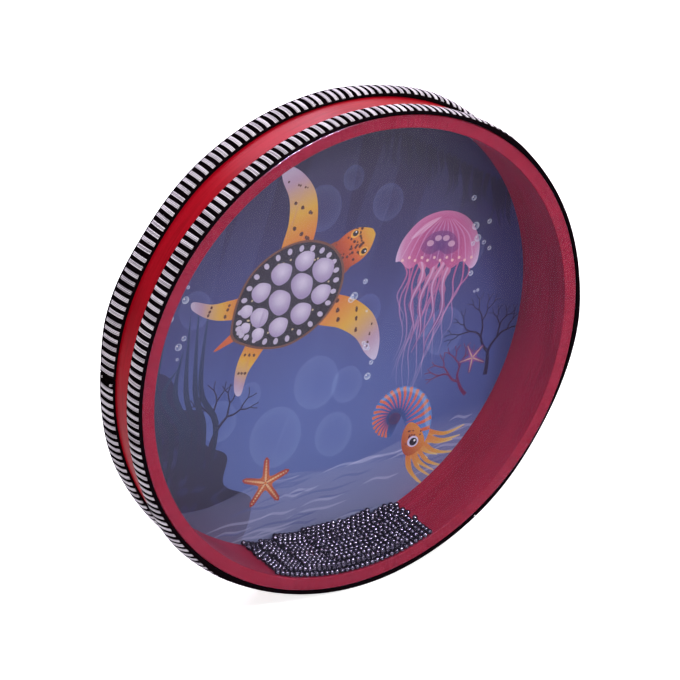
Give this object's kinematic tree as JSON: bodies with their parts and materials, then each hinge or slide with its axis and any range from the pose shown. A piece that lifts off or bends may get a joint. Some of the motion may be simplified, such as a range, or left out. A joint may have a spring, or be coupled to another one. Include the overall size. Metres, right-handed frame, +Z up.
{
  "type": "ocean drum",
  "caption": "Shallow hand drum with a clear and a printed film head, whose loose steel beads roll inside and sound like surf.",
  "frame": {"origin": "centre of the hoop, on the drum's axis, midway between the two heads", "axes": "+Z up with the drum standing on its edge, +Y along the drum's axis towards the printed back head, the clear head faces -Y"},
  "size_m": [0.255, 0.0374, 0.255],
  "materials": {
    "lacquered_wood": "satin red lacquer over bent plywood",
    "clear_film": "clear glossy film",
    "printed_film": "film with a printed undersea picture",
    "black_yarn": "tightly woven black yarn",
    "white_yarn": "white twisted yarn floats",
    "steel": "plain polished steel shot"
  },
  "bodies": {
    "drum": {"hoop_outer_ply": "lacquered_wood", "hoop_core_ply": "lacquered_wood", "hoop_inner_ply": "lacquered_wood", "clear_head": "clear_film", "printed_head": "printed_film", "front_tape_ground": "black_yarn", "front_tape_floats": "white_yarn", "back_tape_ground": "black_yarn", "back_tape_floats": "white_yarn"},
    "bed": {"bead_bed": "steel"},
    "wash": {"bead_wash": "steel"}
  },
  "joints": [
    {"name": "swirl", "type": "hinge", "parent": "drum", "child": "bed", "pos_m": [0, 0, 0], "axis": [0, 1, 0], "continuous": true},
    {"name": "wash_across", "type": "slide", "parent": "bed", "child": "wash", "axis": [0, 0, 1], "range_m": [0, 0.215]}
  ]
}
